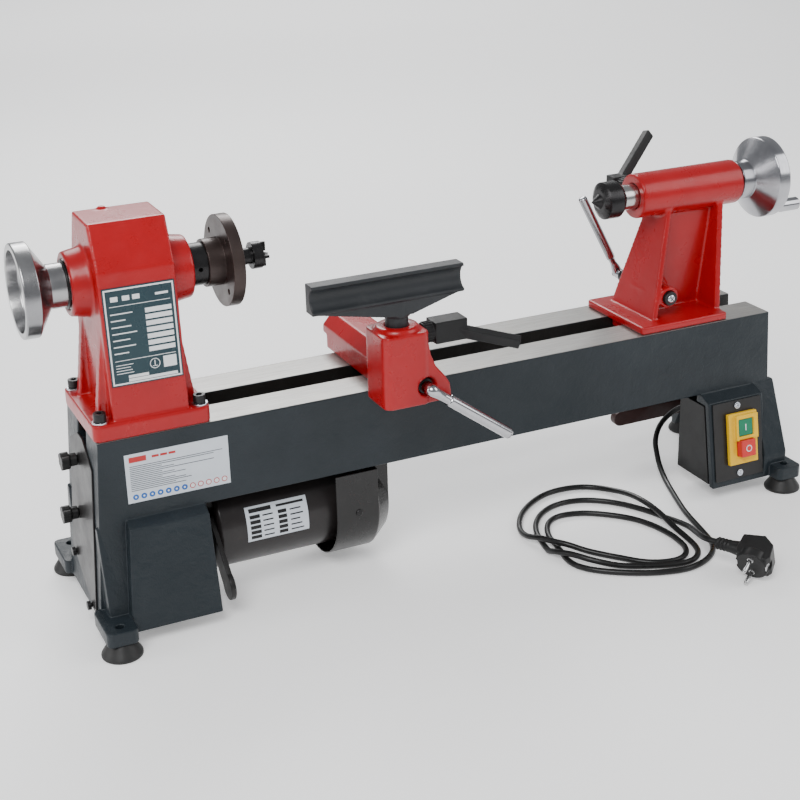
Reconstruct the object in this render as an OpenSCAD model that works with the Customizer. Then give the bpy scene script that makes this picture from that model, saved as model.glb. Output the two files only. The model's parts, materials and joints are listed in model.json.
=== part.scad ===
/* [Bed] */
// Length of the cast bed
bed_length = 840; // [820:5:900]
// Width across the two ways
bed_width = 128; // [126:1:132]
// Height of the ways above the surface that the feet stand on
bed_height = 222; // [220:1:228]
// Width of the slot between the ways
slot_width = 34; // [32:1:36]
// Distance across the feet, front to back
foot_spacing = 210; // [206:1:220]

/* [Centres] */
// Height of the spindle axis above the ways
centre_height = 152; // [150:1:156]
// Distance of the tool rest's stem from the left end of the bed
banjo_station = 342; // [335:1:350]
// Distance of the tailstock's clamp bolt from the left end of the bed
tail_station = 707; // [704:1:710]

/* [Turning parts] */
// Diameter of both handwheels
wheel_d = 98; // [92:1:102]
// Diameter of the faceplate
faceplate_d = 98; // [90:1:104]
// Diameter of the threaded spindle nose
nose_d = 33; // [33:1:34]
// Diameter of the sliding quill
quill_d = 30; // [29:1:31]
// Diameter of the motor's housing
motor_d = 104; // [98:1:106]

/* [Tool rest] */
// Length of the tool rest
rest_length = 172; // [150:1:190]
// Diameter of the tool rest's stem
stem_d = 25; // [24:0.5:25]

/* [Lead] */
// Diameter of the mains lead
cord_d = 7; // [6.5:0.1:7.5]

/* [Hidden] */

$fn = 64;
eps = 0.5;
fit = 0.3;
running = 0.05;

half_width = bed_width / 2;
spindle_z = bed_height + centre_height;
apron_bottom = 130;
lug_z = 17;
lug_h = 16;
foot_y = foot_spacing / 2;
foot_left = -6;
foot_right = bed_length + 6;
bolt_hole_r = 4.5;
way_t = 16;
wall = 8;

head_end = 123;
body_left = 20;
body_right = 101;
flange_t = 18;
belt_left = 58.5;
belt_w = 8;
pulley_r = 30;
pulley_step = 5;
pulley_x = 38;
pulley_pitch = 10;
motor_z = 75;
motor_left = 125;
pivot_y = 40;
pivot_z = 150;
pivot_r = 6;

cam_z = bed_height + 19;
cam_r = 8.5;
cam_throw = 1.5;
post_x = banjo_station - 22;
post_y = -102;
post_w = 54;
post_top = bed_height + 86;
rest_bottom = bed_height + 96;
rest_top = bed_height + 146;
lock_z = bed_height + 71;
lever_y = -138;

barrel_r = 26.5;
barrel_left = tail_station - 29;
barrel_right = tail_station + 113;
tail_base_left = tail_station - 50;
tail_base_right = tail_station + 72;
tail_base_t = 9;
tail_cam_z = bed_height + 33;
hub_left = barrel_right + 3;
quill_r = quill_d / 2;
lock_x = tail_station - 14;

leg_x = bed_length - 96;
leg_right = bed_length + 13;
flare_x = leg_x + 76;
leg_top_y = -82;
leg_bottom_y = -100;
leg_top_z = 124;
face_tilt = atan((leg_top_y - leg_bottom_y) / (leg_top_z - lug_z));
switch_x = leg_x + 44;

gland_x = leg_x + 48;
gland_z = 80;
enclosure_back = -24;

// The plug lies on its side, its cable sleeve leaving from [x, y, z] in the frame
plug_face = [242, -283, 19.5];
plug_turn = -60;
plug_tilt = 22;
sleeve_back = 20;
sleeve_reach = 50;
plug_start = [235, -230.4, 27];

// The lead's centre line, from the gland to the plug, with its low humps where it crosses itself
cord_route = [
    [372, 0, 80], [371, 14, 79], [367, 28, 73], [358, 39, 63], [346, 42, 52], [335, 38, 42],
    [325, 28, 32], [318, 14, 23], [311, -4, 13], [304, -26, 6], [296, -50, 3.5],
    [284, -84, 3.5], [275, -112, 3.5], [268, -142, 3.5], [262, -170, 3.5], [256, -192, 3.5],
    [246, -208, 3.5], [232, -220, 3.5], [214, -228, 3.5], [194, -231, 3.5], [172, -227, 3.5],
    [148, -218, 3.5], [122, -203, 3.5], [100, -185, 3.5], [88, -167, 3.5], [86, -148, 3.5],
    [90, -128, 3.5], [93, -110, 3.5], [96, -92, 3.5], [103, -75, 3.5], [113, -61, 3.5],
    [127, -52, 3.5], [144, -51, 3.5], [167, -59, 3.5], [190, -77, 3.5], [209, -99, 3.5],
    [220, -124, 3.5], [225, -150, 3.5], [225, -170, 3.5], [222, -187, 3.5], [213, -201, 3.5],
    [198, -208, 3.5], [178, -205, 3.5], [158, -193, 3.5], [138, -170, 3.5], [116, -147, 5.5],
    [98, -130, 10.6], [86, -115, 11.4], [77, -100, 10.8], [72, -82, 6], [74, -62, 3.5],
    [84, -41, 3.5], [101, -20, 3.5], [126, -1, 3.5], [155, 11, 3.5], [186, 11, 3.5],
    [211, 0, 3.5], [228, -22, 5], [236, -50, 9], [238, -82, 11.4], [238, -114, 10.2],
    [237, -143, 6.5], [237, -170, 4], [234, -191, 3.5], [226, -207, 3.5], [211, -217, 3.5],
    [190, -217, 3.5], [160, -206, 3.5], [130, -191, 4.5], [105, -174, 9.4], [90, -155, 11.4],
    [80, -137, 9], [78, -120, 3.5], [82, -98, 3.5], [88, -76, 3.5], [99, -55, 3.5],
    [117, -36, 3.5], [140, -24, 3.5], [165, -22, 3.5], [190, -31, 3.5], [214, -52, 3.5],
    [232, -80, 3.5], [243, -108, 3.5], [248, -136, 7], [245, -162, 13], [238, -184, 18.5],
    [232, -203, 23], [230.5, -218, 26], plug_start];

// Helpers ---------------------------------------------------------------

// Moves a part from distances along the bed to the frame's origin between the feet
module on_bed() {
    translate([-bed_length / 2, 0, 0]) children();
}

// A cylinder along +X from the given distance along the bed
module rod_x(x, y, z, length, r, r_end = -1) {
    translate([x, y, z]) rotate([0, 90, 0])
        cylinder(h = length, r1 = r, r2 = r_end < 0 ? r : r_end);
}

// A cylinder along +Y from the given depth
module rod_y(x, y, z, length, r) {
    translate([x, y, z]) rotate([-90, 0, 0]) cylinder(h = length, r = r);
}

// An upright outline given as [y, z] points, drawn out along +X
module outline_yz(x, length, points) {
    translate([x, 0, 0]) rotate([90, 0, 90]) linear_extrude(length) polygon(points);
}

// An upright outline given as [x, z] points, drawn out along +Y from the given depth
module outline_xz(y, length, points) {
    translate([0, y + length, 0]) rotate([90, 0, 0]) linear_extrude(length) polygon(points);
}

// A profile given as [distance, radius] points, turned about the X axis at height z
module turned_x(x, y, z, points) {
    translate([x, y, z]) rotate([0, 90, 0]) rotate_extrude()
        polygon([for (p = points) [p[1], p[0]]]);
}

// An upright block with rounded corners, its low corner at [x, y, z]
module rounded_block(x, y, z, w, d, h, r) {
    translate([x, y, z]) linear_extrude(h) union() {
        translate([r, 0]) square([w - 2 * r, d]);
        translate([0, r]) square([w, d - 2 * r]);
        for (cx = [r, w - r], cy = [r, d - r]) translate([cx, cy]) circle(r = r, $fn = 32);
    }
}

mouth_r = 8.9;
taper_rate = 0.025;

// A self-holding taper on the spindle axis: dir is 1 where it narrows to +X, -1 to -X
module taper(x_mouth, depth, dir, extra = 0) {
    translate([x_mouth - dir * extra, 0, spindle_z]) rotate([0, 90 * dir, 0])
        cylinder(h = depth + extra, r1 = mouth_r + taper_rate * extra,
            r2 = mouth_r - taper_rate * depth);
}

// Bed --------------------------------------------------------------------

// The front half of a leg, with an upright right side and a left side that may slope:
// an outline in [y, z], less the same outline set in by the wall
module leg_box(x_top, x_bottom, x_right, top_y, top_z) {
    inner_y = -half_width + wall + eps;
    depth = -leg_bottom_y - half_width + 2 * wall;
    difference() {
        intersection() {
            outline_yz(x_bottom, x_right - x_bottom, [[-half_width + wall, apron_bottom + 2],
                [-half_width, apron_bottom + 2], [-half_width, apron_bottom + 1],
                [top_y, top_z], [leg_bottom_y, lug_z], [-half_width + wall, lug_z]]);
            outline_xz(leg_bottom_y - 1, depth, [[x_top, apron_bottom + 3],
                [x_right + 1, apron_bottom + 3], [x_right + 1, lug_z - 1], [x_bottom, lug_z - 1]]);
        }
        intersection() {
            outline_yz(x_bottom + wall, x_right - x_bottom - 2 * wall, [
                [inner_y, apron_bottom - wall], [-half_width, apron_bottom - wall - 1],
                [top_y + wall, top_z - wall], [leg_bottom_y + wall, lug_z - 2],
                [inner_y, lug_z - 2]]);
            outline_xz(leg_bottom_y - 1, depth, [[x_top + wall, apron_bottom + 3],
                [x_right, apron_bottom + 3], [x_right, lug_z - 3], [x_bottom + wall, lug_z - 3]]);
        }
    }
}

// A square foot pad reaching out from the end of the bed
module lug(x) {
    rounded_block(x - 17, -foot_y - 15, lug_z, 34, foot_y - half_width + 19, lug_h, 7);
}

module leg_end(x_top, x_bottom, x_in) {
    outline_xz(-half_width, wall, [[x_top, apron_bottom + 2], [x_in, apron_bottom + 2],
        [x_in, lug_z], [x_bottom, lug_z]]);
}

// The front or back half of the bed: only the front one has a box for the switch
module bed_half(boxed) {
    // apron
    translate([0, -half_width, apron_bottom]) cube([bed_length, wall, bed_height - apron_bottom]);
    // left leg: a flush strip and a box that steps forward
    leg_end(0, -16, 30);
    leg_box(22, 8, 108, -78, 125);
    translate([22, -half_width + wall - eps, lug_z]) cube([wall, 30, apron_bottom - lug_z]);
    // gusset that slopes down to the left pad
    outline_yz(-10, 33, [[-half_width + wall, 126], [-half_width, 126], [-86, lug_z + 10],
        [-half_width + wall, lug_z + 10]]);
    lug(foot_left);
    // right leg: a box for the switch and a wide flared face
    if (boxed) leg_box(leg_x, leg_x, leg_x + 80, leg_top_y, leg_top_z);
    outline_yz(flare_x, leg_right - flare_x, [[-half_width + wall, apron_bottom + 2],
        [-half_width, apron_bottom + 2], [-66, apron_bottom - 2],
        [leg_bottom_y, lug_z + 30], [leg_bottom_y, lug_z], [leg_bottom_y + wall, lug_z],
        [-half_width + wall, apron_bottom - 30]]);
    lug(foot_right);
}

module end_wall(x_top, x_bottom, thick) {
    outline_xz(-half_width, bed_width, [[x_top, bed_height - 4], [x_top + thick, bed_height - 4],
        [x_bottom + thick, lug_z], [x_bottom, lug_z]]);
}

module bed() color([0.17, 0.2, 0.23]) on_bed() difference() {
    union() {
        translate([0, -half_width, bed_height - way_t]) cube([bed_length, bed_width, way_t]);
        bed_half(true);
        mirror([0, 1, 0]) bed_half(false);
        end_wall(0, -16, wall);
        end_wall(bed_length - wall, leg_right - wall, wall);
    }
    // slot between the ways, open at both ends
    translate([-30, -slot_width / 2, bed_height - way_t - 8])
        cube([bed_length + 60, slot_width, way_t + 20]);
    // opening for the belt under the headstock
    translate([30, -50, bed_height - way_t - 1]) cube([68, 100, way_t + 2]);
    // bolt holes through the foot pads
    for (x = [foot_left, foot_right], y = [-foot_y, foot_y])
        translate([x, y, lug_z - 1]) cylinder(h = lug_h + 2, r = bolt_hole_r);
    // doorway behind the belt cover, and its stud and screw holes
    translate([-20, -34, 45]) cube([32, 38, 125]);
    for (z = cover_knobs) rod_x(-20, cover_y, z, 40, 4 + running);
    for (p = cover_screw_points) rod_x(-30, p[0], p[1], 40, 2.4);
    // tapped holes for the headstock
    for (b = head_bolts) translate([b[0], b[1], bed_height - 13]) cylinder(h = 14, r = 4);
    // the switch enclosure fills the right leg's box, behind its front wall
    outline_yz(leg_x - 1, 70, [[-48, lug_z - 1], [-91.5, lug_z - 1], [-74, 119], [-48, 119]]);
    on_face(switch_x - 13, 36) translate([0, -5, 0]) cube([26, 16, 50]);
}

module rubber_feet() color([0.05, 0.05, 0.05]) on_bed()
    for (x = [foot_left, foot_right], y = [-foot_y, foot_y]) translate([x, y, 0])
        difference() {
            union() {
                cylinder(h = 3, r = 22);
                translate([0, 0, 3]) cylinder(h = lug_z - 3, r1 = 22, r2 = 13);
            }
            translate([0, 0, -1]) cylinder(h = lug_z + 2, r = bolt_hole_r);
        }

// Headstock --------------------------------------------------------------

head_front = [[-60, bed_height + flange_t - 1], [-50, spindle_z + 21], [-30, spindle_z + 66]];
head_back = [[30, spindle_z + 66], [50, spindle_z + 21], [60, bed_height + flange_t - 1]];
head_bolts = [[8, -53], [114, -53], [8, 53], [114, 53]];

module headstock_casting() color([0.75, 0.07, 0.06]) on_bed() difference() {
    union() {
        rounded_block(-2, -half_width, bed_height, head_end + 2, bed_width, flange_t, 8);
        outline_yz(body_left, body_right - body_left, concat(head_front, head_back));
        // corner ribs that flare onto the flange
        for (y = [-44, 30]) outline_xz(y, 14, [[body_left, spindle_z - 44], [7, bed_height + 10],
            [head_end - 8, bed_height + 10], [body_right, spindle_z - 44]]);
        // bearing bosses
        rod_x(-1, 0, spindle_z, body_left + 2, 33, 37);
        rod_x(body_right - 1, 0, spindle_z, 27, 37, 33);
        // tongue between the ways
        translate([4, -slot_width / 2 + fit, bed_height - 10]) cube([24, slot_width - 2 * fit, 11]);
        translate([100, -slot_width / 2 + fit, bed_height - 10])
            cube([18, slot_width - 2 * fit, 11]);
        // cap screw of the belt door on the roof
        translate([50, 24, spindle_z + 64]) cylinder(h = 5, r = 4);
    }
    // room for the pulley and the belt
    outline_yz(body_left + 7, body_right - body_left - 14, [[-52, bed_height - 1],
        [-43, spindle_z + 18], [-25, spindle_z + 59], [25, spindle_z + 59],
        [43, spindle_z + 18], [52, bed_height - 1]]);
    // bearing seats and the way between them
    rod_x(-2, 0, spindle_z, 18, 26);
    rod_x(110, 0, spindle_z, 18, 26);
    rod_x(10, 0, spindle_z, 110, 21);
    for (b = head_bolts) translate([b[0], b[1], bed_height - 1]) cylinder(h = 40, r = 4.5);
}

module headstock_bolts() color([0.06, 0.06, 0.07]) on_bed()
    for (b = head_bolts) translate([b[0], b[1], bed_height + flange_t + 2]) difference() {
        union() {
            cylinder(h = 9, r = 6.5);
            translate([0, 0, -flange_t - 13]) cylinder(h = flange_t + 14, r = 4);
        }
        translate([0, 0, 4]) cylinder(h = 6, r = 3.4, $fn = 6);
    }

module headstock_washers() color([0.75, 0.75, 0.75]) on_bed()
    for (b = head_bolts) translate([b[0], b[1], bed_height + flange_t]) difference() {
        cylinder(h = 2, r = 8.5);
        translate([0, 0, -1]) cylinder(h = 4, r = 4.4);
    }

// Depth of the headstock's sloping front face at a height
function head_face(z) = head_front[0][0] + (z - head_front[0][1])
    * (head_front[1][0] - head_front[0][0]) / (head_front[1][1] - head_front[0][1]);

module data_plate() color([0.07, 0.16, 0.19]) on_bed()
    outline_yz(23, 75, [for (p = [[spindle_z - 97, 0], [spindle_z + 5, 0],
        [spindle_z + 5, -1], [spindle_z - 97, -1]]) [head_face(p[0]) + p[1], p[0]]]);

race_x = [1, 111];
race_w = 14;

module ring_x(x, length, outer, inner) {
    difference() {
        rod_x(x, 0, spindle_z, length, outer);
        rod_x(x - 1, 0, spindle_z, length + 2, inner);
    }
}

module bearing_outer_races() color([0.6, 0.6, 0.62]) on_bed()
    for (x = race_x) ring_x(x, race_w, 26, 22.6);

module bearing_inner_races() color([0.66, 0.66, 0.68]) on_bed()
    for (x = race_x) ring_x(x, race_w, 16.6, 12.5);

module bearing_balls() color([0.8, 0.8, 0.82]) on_bed()
    for (x = race_x, a = [0:45:315]) translate([x + race_w / 2, 0, spindle_z])
        rotate([a, 0, 0]) translate([0, 19.6, 0]) sphere(r = 2.9, $fn = 24);

// Spindle ----------------------------------------------------------------

nose_x = 128;
hub_x = 145;
disc_x = 163;
nose_end = 170;

module spindle() color([0.1, 0.1, 0.11]) on_bed() difference() {
    union() {
        rod_x(-22, 0, spindle_z, 150, 12.5);
        rod_x(nose_x, 0, spindle_z, hub_x - nose_x, 22.5);
        rod_x(hub_x - 1, 0, spindle_z, nose_end - hub_x + 1, nose_d / 2);
    }
    rod_x(-24, 0, spindle_z, 200, 5);
    taper(nose_end, 66, -1, 1);
    // set screw hole in the shoulder
    rod_y(136, -24, spindle_z, 8, 2.2);
}

module step_pulley(z, first, step, bore) {
    turned_x(pulley_x, 0, z, concat([[0, bore], [0, first + 2 * step]],
        [for (i = [0:4], s = [0, 1]) [(i + s) * pulley_pitch, first + (2 - i) * step]],
        [[5 * pulley_pitch, bore]]));
}

module spindle_pulley() color([0.62, 0.63, 0.65]) on_bed()
    step_pulley(spindle_z, pulley_r, pulley_step, 12.5);

module left_handwheel() color([0.8, 0.8, 0.82]) on_bed()
    turned_x(-51, 0, spindle_z, [[0, wheel_d / 2 - 7], [0, wheel_d / 2 - 1], [1, wheel_d / 2],
        [15.5, wheel_d / 2], [16.5, wheel_d / 2 - 1], [32, 23], [48.5, 23], [48.5, 12.5],
        [27, 12.5], [27, 17], [14, wheel_d / 2 - 10], [12, wheel_d / 2 - 8]]);

module faceplate() color([0.17, 0.12, 0.11]) on_bed() difference() {
    union() {
        rod_x(hub_x, 0, spindle_z, disc_x - hub_x + 1, 25.5);
        rod_x(disc_x, 0, spindle_z, 13, faceplate_d / 2);
    }
    rod_x(hub_x - 1, 0, spindle_z, 40, nose_d / 2 + running);
    for (a = [45:90:315]) translate([disc_x - 1, 0, spindle_z]) rotate([a, 0, 0])
        translate([0, 38, 0]) rotate([0, 90, 0]) cylinder(h = 16, r = 3);
}

module spur_centre() color([0.07, 0.07, 0.08]) on_bed() {
    taper(nose_end, 52, -1);
    rod_x(nose_end, 0, spindle_z, 28, 8.9);
    rod_x(198, 0, spindle_z, 11, 14.5);
    for (a = [0:90:270]) translate([209, 0, spindle_z]) rotate([a, 0, 0])
        translate([-1, 3.5, -1.5]) cube([7, 10, 3]);
    rod_x(208, 0, spindle_z, 10.5, 3.2, 0.4);
}

// Belt cover -------------------------------------------------------------

cover_knobs = [175, 113];
cover_screw_points = [[-32, 24], [30, 60]];
cover_y = 16;

// The bed's end face leans outward: its distance along the bed at a height
function end_face(z) = -16 * (bed_height - 4 - z) / (bed_height - 4 - lug_z);

module belt_cover() color([0.11, 0.1, 0.1]) on_bed() difference() {
    intersection() {
        translate([-30, 0, 0]) rotate([90, 0, 90]) linear_extrude(60)
            polygon([[-50, 20], [-44, 185], [-6, 206], [14, 206], [45, 190], [45, 62], [36, 58]]);
        outline_xz(-70, 140, [[end_face(210) - 2, 210], [end_face(210), 210],
            [end_face(lug_z), lug_z], [end_face(lug_z) - 2, lug_z]]);
    }
    for (z = cover_knobs) rod_x(-30, cover_y, z, 50, 4.5);
    for (p = cover_screw_points) rod_x(-30, p[0], p[1], 50, 2.6);
}

// A lobed plastic knob on its threaded stud
module cover_knob(z) {
    x = end_face(z) - 3;
    difference() {
        union() {
            rod_x(x - 9, cover_y, z, 9, 7);
            rod_x(x - 17, cover_y, z, 9, 10);
            rod_x(x - 1, cover_y, z, 22, 4);
        }
        for (a = [0:60:300]) translate([x - 18, cover_y, z]) rotate([a, 0, 0])
            translate([0, 13, 0]) rotate([0, 90, 0]) cylinder(h = 10, r = 4.5, $fn = 24);
    }
}

module cover_knob_upper() color([0.06, 0.06, 0.06]) on_bed() cover_knob(cover_knobs[0]);

module cover_knob_lower() color([0.06, 0.06, 0.06]) on_bed() cover_knob(cover_knobs[1]);

module cover_screws() color([0.07, 0.07, 0.07]) on_bed() for (p = cover_screw_points) {
    rod_x(end_face(p[1]) - 7, p[0], p[1], 4, 5);
    rod_x(end_face(p[1]) - 4, p[0], p[1], 8, 2.4);
}

// Motor ------------------------------------------------------------------

module motor_bracket() color([0.12, 0.12, 0.13]) on_bed() {
    for (x = [104.5, 128]) difference() {
        translate([x, pivot_y - 12, pivot_z - 12])
            cube([6, 24, bed_height - way_t - pivot_z + 12]);
        rod_x(x - 1, pivot_y, pivot_z, 8, pivot_r);
    }
    rod_x(102, pivot_y, pivot_z, 35, pivot_r);
}

module motor_plate() color([0.1, 0.1, 0.1]) on_bed() difference() {
    outline_yz(113, 6, [[-42, 55], [-42, 100], [-20, 118], [pivot_y - 16, pivot_z + 6],
        [pivot_y - 6, pivot_z + 14], [pivot_y + 6, pivot_z + 14], [pivot_y + 13, pivot_z + 4],
        [pivot_y + 13, pivot_z - 12], [42, 100], [42, 50], [25, 34], [-25, 34]]);
    rod_x(112, pivot_y, pivot_z, 8, pivot_r + running);
    rod_x(112, 0, motor_z, 8, 9);
    for (p = lever_bolts) rod_x(112, p[0], p[1], 8, 4);
}

lever_bolts = [[-30, 88], [-36, 68]];

module tension_lever() color([0.07, 0.07, 0.08]) on_bed() difference() {
    union() {
        outline_yz(119.2, 5.6, [[-16, 84], [-34, 98], [-93, 47], [-74, 27]]);
        rod_x(119.2, -84, 37, 5.6, 15.6);
    }
    for (p = lever_bolts) rod_x(118, p[0], p[1], 8, 4);
}

module motor_bolts() color([0.75, 0.75, 0.76]) on_bed() {
    for (p = lever_bolts) {
        rod_x(108.5, p[0], p[1], 16, 4);
        translate([108.5, p[0], p[1]]) rotate([0, 90, 0]) cylinder(h = 4.5, r = 7, $fn = 6);
    }
}

module motor_housing() color([0.13, 0.12, 0.12]) on_bed() difference() {
    union() {
        rod_x(motor_left, 0, motor_z, 4, motor_d / 2 - 3, motor_d / 2);
        rod_x(motor_left + 4, 0, motor_z, 160, motor_d / 2);
        rod_x(motor_left + 163, 0, motor_z, 12, motor_d / 2, motor_d / 2 - 10);
        rod_x(119, 0, motor_z, 7, 15.9);
    }
    rod_x(118, 0, motor_z, 60, 7 + running);
}

module motor_shaft() color([0.7, 0.7, 0.72]) on_bed() {
    rod_x(30, 0, motor_z, 130, 7);
}

module motor_pulley() color([0.62, 0.63, 0.65]) on_bed()
    step_pulley(motor_z, pulley_r, -pulley_step, 7);

// A flat loop round two equal pulleys: outline grown by a distance, in [y, z]
module belt_outline(grow) {
    r = pulley_r + grow;
    translate([0, motor_z]) circle(r = r, $fn = 96);
    translate([0, spindle_z]) circle(r = r, $fn = 96);
    translate([-r, motor_z]) square([2 * r, spindle_z - motor_z]);
}

module drive_belt() color([0.08, 0.08, 0.08]) on_bed()
    translate([belt_left, 0, 0]) rotate([90, 0, 90]) linear_extrude(belt_w) difference() {
        belt_outline(3.2);
        belt_outline(fit);
    }

guard_r = 65;
guard_x = 258;
guard_w = 51;

module guard_form(x, length, r, r_end, side) {
    rod_x(x, 0, motor_z, length, r, r_end);
    translate([x, -side, motor_z]) cube([length, 2 * side, apron_bottom - motor_z - 3]);
}

module motor_guard() color([0.07, 0.07, 0.07]) on_bed() difference() {
    union() {
        guard_form(guard_x, guard_w, guard_r, guard_r, guard_r);
        guard_form(guard_x + guard_w - 0.1, 20, guard_r, guard_r - 16, guard_r - 16);
    }
    guard_form(guard_x - 1, guard_w, guard_r - 1.6, guard_r - 1.6, guard_r - 1.6);
    guard_form(guard_x + guard_w - 1.1, 18, guard_r - 3, guard_r - 17.6, guard_r - 17.6);
    translate([guard_x - 2, -80, apron_bottom - 3]) cube([90, 160, 40]);
}

// Banjo and tool rest ----------------------------------------------------

module banjo_clamp_plate() color([0.3, 0.3, 0.31]) on_bed() difference() {
    translate([banjo_station - 30, -28, bed_height - way_t - 12]) cube([60, 56, 10]);
    translate([banjo_station, 0, bed_height - way_t - 13]) cylinder(h = 12, r = 6 + running);
}

// An eye bolt through the slot, its eye round the cam
module eye_bolt(x, eye_z) {
    difference() {
        union() {
            rod_y(x, -7, eye_z, 14, 14);
            translate([x, 0, bed_height - way_t - 26]) cylinder(h = eye_z - bed_height + way_t + 14,
                r = 6);
            translate([x, 0, bed_height - way_t - 22.3]) cylinder(h = 10, r = 10, $fn = 6);
        }
        rod_y(x, -8, eye_z, 16, 10.5);
    }
}

module banjo_clamp_bolt() color([0.35, 0.35, 0.36]) on_bed() eye_bolt(banjo_station, cam_z);

arm_left = banjo_station - 28;
arm_w = 56;

module banjo_casting() color([0.75, 0.07, 0.06]) on_bed() difference() {
    union() {
        // arm across the bed
        translate([0, -80, 0]) rotate([-90, 0, 0]) mirror([0, 1, 0]) linear_extrude(174)
            polygon([[arm_left, bed_height], [arm_left, bed_height + 26],
                [arm_left + 12, bed_height + 40], [arm_left + arm_w - 12, bed_height + 40],
                [arm_left + arm_w, bed_height + 26], [arm_left + arm_w, bed_height]]);
        // post at the front
        rounded_block(post_x - post_w / 2, post_y - post_w / 2, bed_height, post_w, post_w,
            post_top - bed_height - 5, 9);
        translate([post_x, post_y, post_top - 5.5]) cylinder(h = 5.5, r1 = 26, r2 = 22);
        // flare over the cam
        outline_xz(post_y - post_w / 2 + 2, 46, [[post_x, bed_height], [post_x, post_top - 8],
            [post_x + 26, post_top - 20], [post_x + 28, post_top - 32],
            [post_x + 34, post_top - 46], [post_x + 44, post_top - 58],
            [post_x + 50, post_top - 68], [post_x + 52, bed_height]]);
        // boss for the lock screw
        rod_x(post_x + 20, post_y, lock_z, 7.5, 10);
    }
    // undercut at the back end of the arm
    translate([arm_left - 1, 84, bed_height - 1]) cube([arm_w + 2, 11, 17]);
    // hollow for the eye of the clamp bolt
    translate([banjo_station - 15, -50, bed_height - 1]) cube([30, 100, 35.5]);
    // bore for the cam shaft
    rod_y(banjo_station, -140, cam_z, 240, cam_r + running);
    rod_y(banjo_station, -140, cam_z, 19, 10.5);
    // bore for the stem
    translate([post_x, post_y, bed_height + 30]) cylinder(h = 120, r = stem_d / 2 + running);
    rod_x(post_x, post_y, lock_z, 40, 4 + running);
}

module banjo_cam_shaft() color([0.7, 0.7, 0.72]) on_bed() {
    rod_y(banjo_station, -124, cam_z, 74, cam_r);
    rod_y(banjo_station, -50, cam_z + cam_throw, 100, cam_r - 2);
    rod_y(banjo_station, 50, cam_z, 43, cam_r);
    // ball end in front, where the lever leaves
    rod_y(banjo_station, lever_y, cam_z, 14.5, 6);
}

// A bent clamp lever in the XZ plane: a thin neck and a thick rod
module clamp_lever(x, y, z, angle, neck, length, d) {
    rod_y(x, y - 6.5, z, 14, 7.6);
    translate([x, y, z]) rotate([0, 90 + angle, 0]) {
        cylinder(h = neck, r = d / 2 - 1.6);
        translate([0, 0, neck]) cylinder(h = 3, r1 = d / 2 - 1.6, r2 = d / 2);
        translate([0, 0, neck + 3]) cylinder(h = length - 3, r = d / 2);
    }
}

module banjo_lever() color([0.85, 0.85, 0.87]) on_bed() difference() {
    clamp_lever(banjo_station, lever_y, cam_z, 36.5, 25, 93, 13);
    rod_y(banjo_station, lever_y, cam_z, 14.5, 6);
}

module rest_stem() color([0.12, 0.12, 0.13]) on_bed()
    translate([post_x, post_y, bed_height + 37]) cylinder(h = rest_bottom - bed_height - 37,
        r = stem_d / 2);

rest_back = 3;
rest_front = -17;
rest_h = 31;
rest_left = post_x - 100;
rest_right = rest_left + rest_length;

module tool_rest() color([0.22, 0.24, 0.26]) on_bed() {
    // bar: flat top, hollow front and a lip along its lower edge
    difference() {
        outline_yz(rest_left, rest_length, [for (p = [[rest_back, -1], [rest_back, -rest_h],
            [rest_front + 2, -rest_h], [rest_front, 2 - rest_h], [rest_front, -4],
            [rest_front + 2, 0], [rest_back - 1, 0]]) [post_y + p[0], rest_top + p[1]]]);
        rod_x(rest_left - 1, post_y - 21, rest_top - 15, rest_length + 2, 13);
    }
    // web that tapers from the bar's ends down to the stem
    outline_xz(post_y - 14, 14 + rest_back, [[rest_left + 1, rest_top - rest_h + 2],
        [rest_left + 4, rest_top - rest_h], [post_x - 14, rest_bottom + 3],
        [post_x + 14, rest_bottom + 3], [rest_right - 4, rest_top - rest_h],
        [rest_right - 1, rest_top - rest_h + 2]]);
    translate([post_x, post_y, rest_bottom]) cylinder(h = 20, r = 14.5);
}

// A ratchet handle on the X axis: serrated hub, square block and an arm that leans off
// the axis by the given angle, in the plane turned about the axis
module ratchet_handle(lean, turn, block, arm) {
    hub = 12;
    difference() {
        union() {
            rod_x(0, 0, 0, hub + 1, 11);
            translate([hub, -12, -12]) cube([block, 24, 24]);
            translate([hub + block / 2, 0, 0]) rotate([turn, 0, 0]) rotate([0, 90 - lean, 0])
                translate([-5, -6, 0]) cube([10, 12, arm]);
        }
        rod_x(-1, 0, 0, hub + block / 2, 4 + running);
    }
}

module rest_lock_screw() color([0.78, 0.78, 0.8]) on_bed()
    rod_x(post_x + stem_d / 2 + fit, post_y, lock_z, 41, 4);

module rest_lock_handle() color([0.05, 0.05, 0.05]) on_bed()
    translate([post_x + 28, post_y, lock_z]) ratchet_handle(30, 115, 38, 80);

// Tailstock --------------------------------------------------------------

module leaning_plate(x_low, x_high, thick) {
    intersection() {
        outline_xz(-60, 120, [[x_low, bed_height + 4], [x_low + thick, bed_height + 4],
            [x_high + thick, spindle_z - 10], [x_high, spindle_z - 10]]);
        outline_yz(x_low - 10, 80, [[-47, bed_height + 4], [-20, spindle_z - 10],
            [20, spindle_z - 10], [47, bed_height + 4]]);
    }
}

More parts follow.
